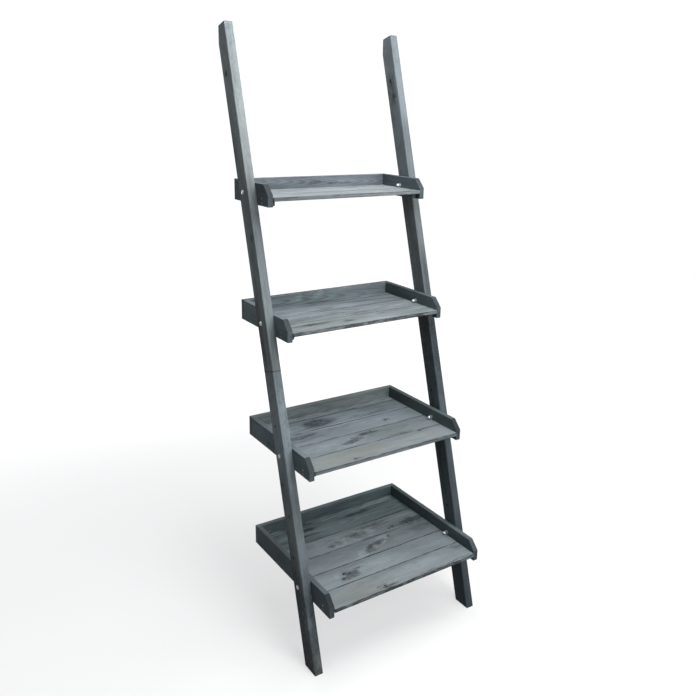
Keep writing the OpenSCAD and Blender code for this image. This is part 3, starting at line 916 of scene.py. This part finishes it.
def make_screw(head, shank, length):
    """A countersunk screw whose head's flat faces +Z at the origin, as a bmesh."""
    shape = bmesh.new()
    make_cross(shape, head)
    cross = list(shape.faces)
    outline = [edge for edge in shape.edges if len(edge.link_faces) == 1]
    ring = bmesh.ops.create_circle(shape, segments=ROUND_STEPS, radius=head / 2, cap_ends=False)["verts"]
    rim = list(dict.fromkeys(edge for vert in ring for edge in vert.link_edges))
    bmesh.ops.bridge_loops(shape, edges=outline + rim)
    sunk = bmesh.ops.extrude_face_region(shape, geom=cross)["geom"]
    bottom = only(bmesh.types.BMVert, sunk)
    bmesh.ops.delete(shape, geom=cross, context="FACES_ONLY")
    bmesh.ops.translate(shape, verts=bottom, vec=(0, 0, -head * CROSS_DEPTH))
    bmesh.ops.scale(shape, verts=bottom, vec=(CROSS_TAPER, CROSS_TAPER, 1))
    edge_loop = rim
    cone, straight = (shank / 2, (head - shank) / 2), (shank / 2, length - shank)
    for radius, depth in (cone, straight, (POINT_WIDTH * shank, length)):
        pulled = bmesh.ops.extrude_edge_only(shape, edges=edge_loop)["geom"]
        verts = only(bmesh.types.BMVert, pulled)
        edge_loop = only(bmesh.types.BMEdge, pulled)
        now = verts[0].co.xy.length
        bmesh.ops.scale(shape, verts=verts, vec=(radius / now, radius / now, 1))
        bmesh.ops.translate(shape, verts=verts, vec=(0, 0, -depth - verts[0].co.z))
    bmesh.ops.holes_fill(shape, edges=edge_loop, sides=ROUND_STEPS)
    bmesh.ops.remove_doubles(shape, verts=shape.verts, dist=WELD)
    bmesh.ops.recalc_face_normals(shape, faces=shape.faces)
    return shape


trial = make_screw(SCREW_HEAD, SCREW_SHANK, 30 * MM)
print("one screw has", len(trial.faces), "faces")
trial.free()

# %% [markdown]
# ## The screws in their places
#
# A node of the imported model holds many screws, so the mesh is taken apart into its separate solids,
# and each solid's box says where a screw is and how long. The heads face outwards on the side
# boards and the back boards, inwards on the runners and downwards under the slats. Each screw stops
# at another angle when it is driven home, so every copy is turned a little further than the last.


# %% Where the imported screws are
SCREW_TURN = 2.4


def in_scene(name, data):
    """A new object in the scene that shows a mesh, a lamp or a camera."""
    holder = bpy.data.objects.new(name, data)
    bpy.context.scene.collection.objects.link(holder)
    return holder


def screw_places(name):
    """The lowest and highest corner of each separate screw of a CAD node, from left to right.

    A set gives its vertices in another order on every run, so the places are sorted at the end.
    """
    shape = bmesh.new()
    shape.from_mesh(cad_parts[name].data)
    bmesh.ops.remove_doubles(shape, verts=shape.verts, dist=WELD)
    left, places = set(shape.verts), []
    while left:
        solid, front = set(), [left.pop()]
        while front:
            vert = front.pop()
            solid.add(vert)
            near = {edge.other_vert(vert) for edge in vert.link_edges} & left
            left -= near
            front.extend(near)
        corners = [[pick(vert.co[axis] for vert in solid) for axis in range(3)] for pick in (min, max)]
        places.append([Vector(corner) for corner in corners])
    shape.free()
    return sorted(places, key=lambda corners: tuple(corners[0]))


def head_faces(name, centre):
    """The direction that the head of a screw at this place faces."""
    outwards = X if centre.x > 0 else -X
    ways = {"side_screws": outwards, "runner_screws": -outwards, "back_board_screws": Y, "slat_screws": -Z}
    return ways[name]


def screws(name):
    """Makes all the screws of one CAD node as one piece and returns how many there are."""
    mesh, whole = bpy.data.meshes.new(name + "_crossed"), bmesh.new()
    places = screw_places(name)
    for count, (low, high) in enumerate(places):
        centre, size = (low + high) / 2, high - low
        facing = head_faces(name, centre)
        along = max(range(3), key=lambda part: abs(facing[part]))
        head_end = Vector(centre)
        head_end[along] = high[along] if facing[along] > 0 else low[along]
        one = make_screw(SCREW_HEAD, SCREW_SHANK, size[along])
        spin = Matrix.Rotation(count * SCREW_TURN, 4, "Z")
        turn = facing.to_track_quat("Z", "Y").to_matrix().to_4x4()
        one.transform(Matrix.Translation(head_end) @ turn @ spin)
        part = bpy.data.meshes.new("one_screw")
        one.to_mesh(part)
        one.free()
        whole.from_mesh(part)
        bpy.data.meshes.remove(part)
    whole.to_mesh(mesh)
    whole.free()
    mesh.materials.append(screw_steel)
    piece = in_scene(name + "_crossed", mesh)
    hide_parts(name)
    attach(piece, "root")
    return len(places)


for name in ("side_screws", "back_board_screws", "runner_screws", "slat_screws"):
    print(name, screws(name))

# %% [markdown]
# ## Stage
#
# The stage is one pale sheet: a round floor that curves up into a wall all the way round, so that
# the stand can be looked at from any side. A sheet this pale would throw so much light back that
# the shaded sides of the stand went flat. So for the light that it scatters onto other things it
# counts as a darker sheet, as if it were far away, and only the eye sees it pale. The lamps reach
# its middle and hardly its rim, so a glow that grows towards the rim evens it out. The middle keeps
# enough of the lamps' light to show the soft shadow at the stand's feet.


# %% The sheet
STAGE_RADIUS, SWEEP_RADIUS, STAGE_HEIGHT = 6.0, 2.5, 14.0
SWEEP_STEPS, TURN_STEPS = 12, 72
SEEN_GREY, SCATTER_GREY, GLOW_COLOUR = (0.3, 0.3, 0.3, 1), (0.09, 0.09, 0.09, 1), (0.985, 0.99, 1.0, 1)
GLOW_FROM, GLOW_TO, MIDDLE_GLOW, RIM_GLOW = 0.9, 3.2, 0.56, 0.95
DARK_IN_GLOSS = 0.75
STAGE_WELD = 1e-5


def pale_sheet():
    material, tree = empty_material("pale_sheet")
    seen = add(tree, "ShaderNodeBsdfDiffuse", {"Color": SEEN_GREY}).outputs[0]
    point = add(tree, "ShaderNodeTexCoord").outputs["Object"]
    from_middle = add(tree, "ShaderNodeVectorMath", {0: point}, operation="LENGTH").outputs["Value"]
    strength = ramp(tree, from_middle, GLOW_FROM, GLOW_TO, MIDDLE_GLOW, RIM_GLOW)
    glow = add(tree, "ShaderNodeEmission", {"Color": GLOW_COLOUR, "Strength": strength}).outputs[0]
    lit = add(tree, "ShaderNodeAddShader", {0: seen, 1: glow}).outputs[0]
    scattering = add(tree, "ShaderNodeBsdfDiffuse", {"Color": SCATTER_GREY}).outputs[0]
    path = add(tree, "ShaderNodeLightPath").outputs
    share = calc(tree, "MULTIPLY_ADD", path["Is Glossy Ray"], DARK_IN_GLOSS, path["Is Diffuse Ray"])
    surface(tree, add(tree, "ShaderNodeMixShader", {0: share, 1: lit, 2: scattering}).outputs[0])
    return material


def make_stage():
    """Spins a line that runs out along the floor, round the sweep and up the wall."""
    mesh, shape = bpy.data.meshes.new("stage"), bmesh.new()
    middle_point = shape.verts.new((0, 0, 0))
    start = shape.verts.new((STAGE_RADIUS, 0, 0))
    centre = (STAGE_RADIUS, 0, SWEEP_RADIUS)
    quarter = {"cent": centre, "axis": (0, -1, 0), "angle": math.pi / 2, "steps": SWEEP_STEPS}
    turned = bmesh.ops.spin(shape, geom=[start], **quarter)["geom_last"]
    end = only(bmesh.types.BMVert, turned)[0]
    top = shape.verts.new((STAGE_RADIUS + SWEEP_RADIUS, 0, STAGE_HEIGHT))
    shape.edges.new((middle_point, start))
    shape.edges.new((end, top))
    line = list(shape.verts) + list(shape.edges)
    whole_turn = {"cent": (0, 0, 0), "axis": (0, 0, 1), "angle": 2 * math.pi, "steps": TURN_STEPS}
    bmesh.ops.spin(shape, geom=line, use_merge=True, **whole_turn)
    bmesh.ops.remove_doubles(shape, verts=shape.verts, dist=STAGE_WELD)
    bmesh.ops.recalc_face_normals(shape, faces=shape.faces)
    # The sheet is open above, and recalculated faces point outwards, so they are turned inwards.
    bmesh.ops.reverse_faces(shape, faces=shape.faces)
    for face in shape.faces:
        face.smooth = True
    shape.to_mesh(mesh)
    shape.free()
    mesh.materials.append(pale_sheet())
    return in_scene("stage", mesh)


stage = make_stage()
print("the sheet's middle faces up:", stage.data.polygons[0].normal.z > 0)

# %% [markdown]
# ## Lamps
#
# Soft square lamps hang around and above the stand. The nearest ones are at its top, so the light
# thins out towards the floor and the trays shade each other. Two broad lamps stand low on the right
# and behind. They fill the faces that the others miss, so that the stand reads well from all sides.
# The list gives each lamp's place, size and power, the strongest first.


# %% The lamps and the sky
AIM = (0, 0, 0.9)
SKY_COLOUR, SKY_STRENGTH = (0.93, 0.95, 1.0, 1), 0.012
LAMPS = {
    "behind_low": ((0.3, 2.7, 0.9), 1.2, 34),
    "right_low": ((2.6, 0.3, 0.9), 1.2, 34),
    "overhead": ((0.0, 0.0, 2.7), 1.0, 32.5),
    "front_near": ((0.0, -0.9, 2.3), 0.8, 25.6),
    "front_middle": ((0.3, -2.6, 1.3), 1.0, 22.5),
    "right_near": ((0.9, -0.7, 2.1), 0.8, 14.7),
    "front_high": ((0.0, -2.0, 2.2), 1.0, 12.1),
    "left_far": ((-2.6, 0.4, 2.8), 1.2, 10.9),
    "behind_high": ((0.2, 1.2, 2.4), 0.8, 3.7),
}


def lamp(name, place, size, power):
    light = bpy.data.lights.new(name, "AREA")
    light.size, light.energy = size, power
    holder = in_scene(name, light)
    holder.location = place
    holder.rotation_euler = (Vector(AIM) - Vector(place)).to_track_quat("-Z", "Y").to_euler()


for name, (place, size, power) in LAMPS.items():
    lamp(name, place, size, power)
world = bpy.data.worlds.new("studio")
world.use_nodes = True
sky = world.node_tree.nodes["Background"].inputs
sky["Color"].default_value, sky["Strength"].default_value = SKY_COLOUR, SKY_STRENGTH
bpy.context.scene.world = world
bpy.context.scene.view_settings.view_transform = "Standard"
print("lamps:", len(LAMPS))

# %% [markdown]
# ## Camera
#
# The camera stands to the left in front of the stand, at the height of a person's chest, and looks
# down a little. Its place and lens were worked out from the stand's straight edges, so the lens is
# given in pixels of a square picture and turned into millimetres here.


# %% The camera
IMAGE = 696
FOCAL_PIXELS = 756.6
CENTRE_PIXEL = (361.1, 311.9)
CAMERA_PLACE = Vector((-1.1531, -1.7062, 1.4629))
YAW, PITCH, ROLL = 0.59763, -0.26106, 0.02243
SENSOR_MM, SEES_AS_FAR_AS = 36.0, 50


def make_camera():
    camera = bpy.data.cameras.new("camera")
    camera.sensor_width = SENSOR_MM
    camera.lens = FOCAL_PIXELS / IMAGE * SENSOR_MM
    camera.shift_x = (IMAGE / 2 - CENTRE_PIXEL[0]) / IMAGE
    camera.shift_y = (CENTRE_PIXEL[1] - IMAGE / 2) / IMAGE
    camera.clip_end = SEES_AS_FAR_AS
    forward = Vector((math.sin(YAW) * math.cos(PITCH), math.cos(YAW) * math.cos(PITCH), math.sin(PITCH)))
    level = Vector((math.cos(YAW), -math.sin(YAW), 0))
    upright = level.cross(forward)
    right = level * math.cos(ROLL) + upright * math.sin(ROLL)
    up = -level * math.sin(ROLL) + upright * math.cos(ROLL)
    holder = in_scene("camera", camera)
    turn = Matrix((right, up, -forward)).transposed().to_4x4()
    holder.matrix_world = Matrix.Translation(CAMERA_PLACE) @ turn
    return holder


bpy.context.scene.camera = make_camera()
print("lens:", round(bpy.context.scene.camera.data.lens, 2), "mm")
